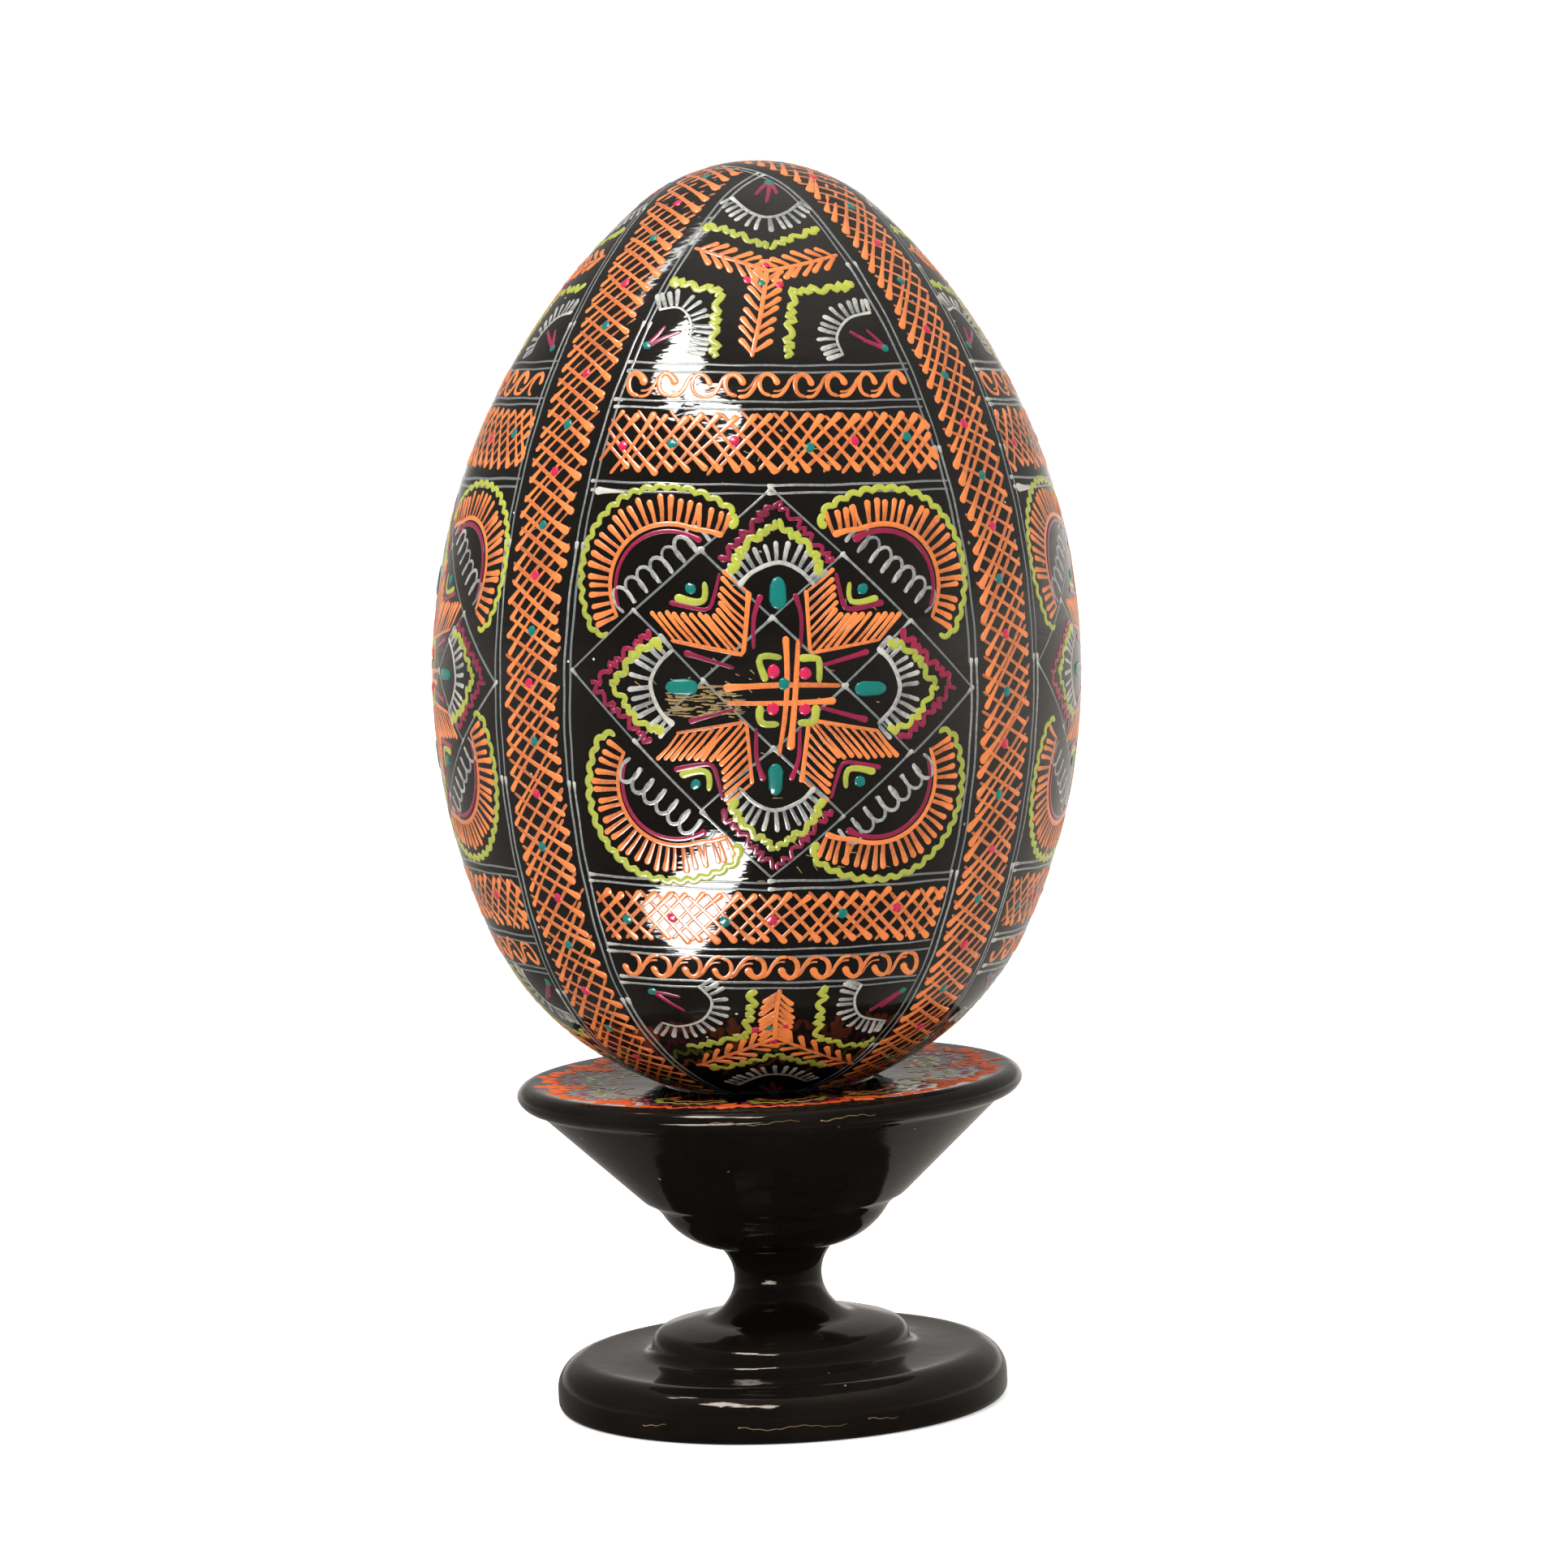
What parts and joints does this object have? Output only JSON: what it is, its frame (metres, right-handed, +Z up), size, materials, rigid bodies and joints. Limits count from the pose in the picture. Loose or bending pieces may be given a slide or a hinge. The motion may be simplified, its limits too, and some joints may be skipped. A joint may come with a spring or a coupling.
{
  "type": "painted wooden easter egg on stand",
  "caption": "Painted wooden Easter egg standing blunt end down in a turned wooden stand with a shallow dish, a conical bowl, a waisted stem and a round foot.",
  "frame": {"origin": "centre of the stand's underside, on the stand's axis", "axes": "+Z up along the stand's axis; -Y is the side seen from the front; the egg leans 2.5 degrees towards +X"},
  "size_m": [0.0698, 0.0696, 0.134],
  "materials": {
    "egg_lacquer": "gloss black lacquer with painted pattern",
    "stand_lacquer": "gloss black lacquer"
  },
  "bodies": {
    "stand": {"stand_foot": "stand_lacquer", "stand_bowl": "stand_lacquer"},
    "egg": {"egg": "egg_lacquer"}
  },
  "joints": [
    {"name": "egg_lift", "type": "slide", "parent": "stand", "child": "egg", "axis": [0, 0, 1], "range_m": [0, 0.06]}
  ]
}
